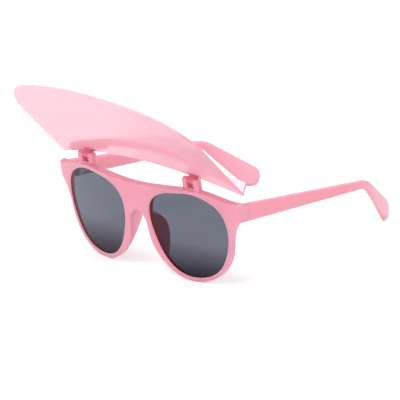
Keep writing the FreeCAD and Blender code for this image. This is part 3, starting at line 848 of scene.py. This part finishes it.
join(pin_tree, narrow, "Vector", tapered, "Position")
lying = add_node(pin_tree, "GeometryNodeTransform", Rotation=(0.0, math.pi / 2, 0.0))
join(pin_tree, tapered, "Geometry", lying, "Geometry")
paired(pin_tree, pin_in, pin_out, lying, "Geometry")
pin_mesh = grown("brow_pins", pin_tree, pin_sizes, hinge_steel)
pin_nodes = ("left_visor_pin", "right_visor_pin")
shown("brow_pins", pin_mesh, "front", "hinge_steel", hinge_steel, *pin_nodes)

# %% [markdown]
# ## Hinge webs
# Behind each pair of ears on the brow a thin web closes the slot below the brim's knuckle. It is
# painted deep red, a painted shade of the slot, where little light gets in. Its top is round, and low
# enough for the knuckle to turn over it.
# A profile pushed along the pin gives that shape with a few points on a half circle.

# %% Profile of a web
ROUND_STEPS = 8
WEB_RADIUS = 0.4 * MM
WEB_DEPTH = 1.35 * MM
WEB_FOOT = -4.6 * MM
WEB_SHOULDER = -2.5 * MM
profile = [(WEB_DEPTH - WEB_RADIUS, WEB_FOOT), (WEB_DEPTH + WEB_RADIUS, WEB_FOOT)]
for step in range(ROUND_STEPS + 1):
    turn = math.pi * step / ROUND_STEPS
    back = WEB_DEPTH + WEB_RADIUS * math.cos(turn)
    profile.append((back, WEB_SHOULDER + WEB_RADIUS * math.sin(turn)))
print("web profile:", len(profile), "points")

# %% Webs behind the brow hinges
SLOT_HALF_WIDTH = 2.5 * MM
SUNK = 0.3 * MM
half_web = Vector((SLOT_HALF_WIDTH + SUNK, 0.0, 0.0))
webs = bmesh.new()
for side in SIDES:
    web_low, web_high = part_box(side + "_visor_pin")
    web_start = (web_low + web_high) / 2 - half_web
    outline = [webs.verts.new(web_start + Vector((0.0, y, z))) for y, z in profile]
    pushed = bmesh.ops.extrude_face_region(webs, geom=[webs.faces.new(outline)])
    moved = [item for item in pushed["geom"] if isinstance(item, bmesh.types.BMVert)]
    bmesh.ops.translate(webs, verts=moved, vec=2 * half_web)
bmesh.ops.recalc_face_normals(webs, faces=webs.faces)
web_mesh = smooth_mesh(webs, "hinge_webs")
web_mesh.set_sharp_from_angle(angle=math.radians(TURNED_CREASE))
# Painted shade: the webs take the deep pink of the shaded knuckles.
shown("hinge_webs", web_mesh, "front", "frame_pink", knuckle_shade_pink)

# %% [markdown]
# ## Floor and light
# A product photograph on white has a floor that is white to the camera and still takes the soft contact
# shadows. The floor is plain white with a little glow that only the camera and reflections see. The
# world is white to them too, and lights the object at a lower level, with one wide lamp high in front.

# %% White floor
FLOOR_REACH = 6.0
FLOOR_WHITE = (0.8, 0.8, 0.8, 1.0)
FLOOR_LIFT = 0.37
WHITE = (1.0, 1.0, 1.0, 1.0)


def seen_rays(tree):
    """One for rays from the camera, from gloss and through glass, nothing for the others."""
    path = tree.nodes.new("ShaderNodeLightPath")
    first = calculated(tree, "MAXIMUM", (path, "Is Camera Ray"), (path, "Is Glossy Ray"))
    return calculated(tree, "MAXIMUM", (first, "Value"), (path, "Is Transmission Ray"))


floor_mesh = bpy.data.meshes.new("studio_floor")
round_the_floor = ((-1, -1), (1, -1), (1, 1), (-1, 1))
floor_corners = [(FLOOR_REACH * x, FLOOR_REACH * y, 0.0) for x, y in round_the_floor]
floor_mesh.from_pydata(floor_corners, [], [(0, 1, 2, 3)])
floor = bpy.data.objects.new("studio_floor", floor_mesh)
scene.collection.objects.link(floor)
floor_white, floor_tree, floor_shader, _ = new_material("floor_white")
floor_shader.inputs["Base Color"].default_value = FLOOR_WHITE
floor_shader.inputs["Roughness"].default_value = 0.9
floor_shader.inputs["Specular IOR Level"].default_value = 0.0
floor_shader.inputs["Emission Color"].default_value = WHITE
floor_glow = mapped(floor_tree, 0.0, 1.0, 0.0, FLOOR_LIFT)
join(floor_tree, seen_rays(floor_tree), "Value", floor_glow, "Value")
join(floor_tree, floor_glow, "Result", floor_shader, "Emission Strength")
floor_mesh.materials.append(floor_white)
print("floor:", floor.name, 2 * FLOOR_REACH, "m wide")

# %% White world and one wide lamp
WORLD_LIGHT = 0.8
WORLD_SEEN = 1.0
KEY_PLACE = Vector((0.1, -0.7, 1.65))
KEY_TARGET = Vector((0.0, 0.0, 0.05))
KEY_WIDTH = 0.7
KEY_POWER = 18.0
world = bpy.data.worlds.new("studio_world")
world.use_nodes = True
scene.world = world
world_tree = world.node_tree
background = world_tree.nodes["Background"]
background.inputs["Color"].default_value = WHITE
world_level = mapped(world_tree, 0.0, 1.0, WORLD_LIGHT, WORLD_SEEN)
join(world_tree, seen_rays(world_tree), "Value", world_level, "Value")
join(world_tree, world_level, "Result", background, "Strength")

key_light = bpy.data.lights.new("high_key", "AREA")
key_light.size = KEY_WIDTH
key_light.energy = KEY_POWER
key_lamp = bpy.data.objects.new("high_key", key_light)
key_lamp.location = KEY_PLACE
key_lamp.rotation_mode = "QUATERNION"
key_lamp.rotation_quaternion = (KEY_TARGET - KEY_PLACE).to_track_quat("-Z", "Y")
scene.collection.objects.link(key_lamp)
print("light:", world.name, "and", key_lamp.name)

# %% [markdown]
# ## Camera
# The photograph was taken with a long lens, from in front of the wearer's left and a little above,
# with the camera turned slightly. The camera stands at that angle and is aimed at the middle of the
# view.

# %% Camera at the photograph's angle
azimuth = math.radians(43.989)
elevation = math.radians(18.729)
roll = math.radians(2.742)
distance = 2.0
aim = Vector((0.0012, -0.00636, 0.0296))
right = Vector((math.cos(azimuth), math.sin(azimuth), 0.0))
toward = Vector((
    math.sin(azimuth) * math.cos(elevation),
    -math.cos(azimuth) * math.cos(elevation),
    math.sin(elevation),
))
above = toward.cross(right)
turned_right = right * math.cos(roll) - above * math.sin(roll)
turned_above = above * math.cos(roll) + right * math.sin(roll)
camera_data = bpy.data.cameras.new("long_lens")
camera_data.sensor_width = 36.0
camera_data.lens = 313.25
camera_data.clip_end = 50.0
camera = bpy.data.objects.new("long_lens", camera_data)
axes = Matrix((turned_right, turned_above, toward)).transposed()
camera.matrix_world = Matrix.Translation(aim + toward * distance) @ axes.to_4x4()
scene.collection.objects.link(camera)
scene.camera = camera
scene.view_settings.view_transform = "Standard"
print("camera at", [round(value, 3) for value in camera.location])
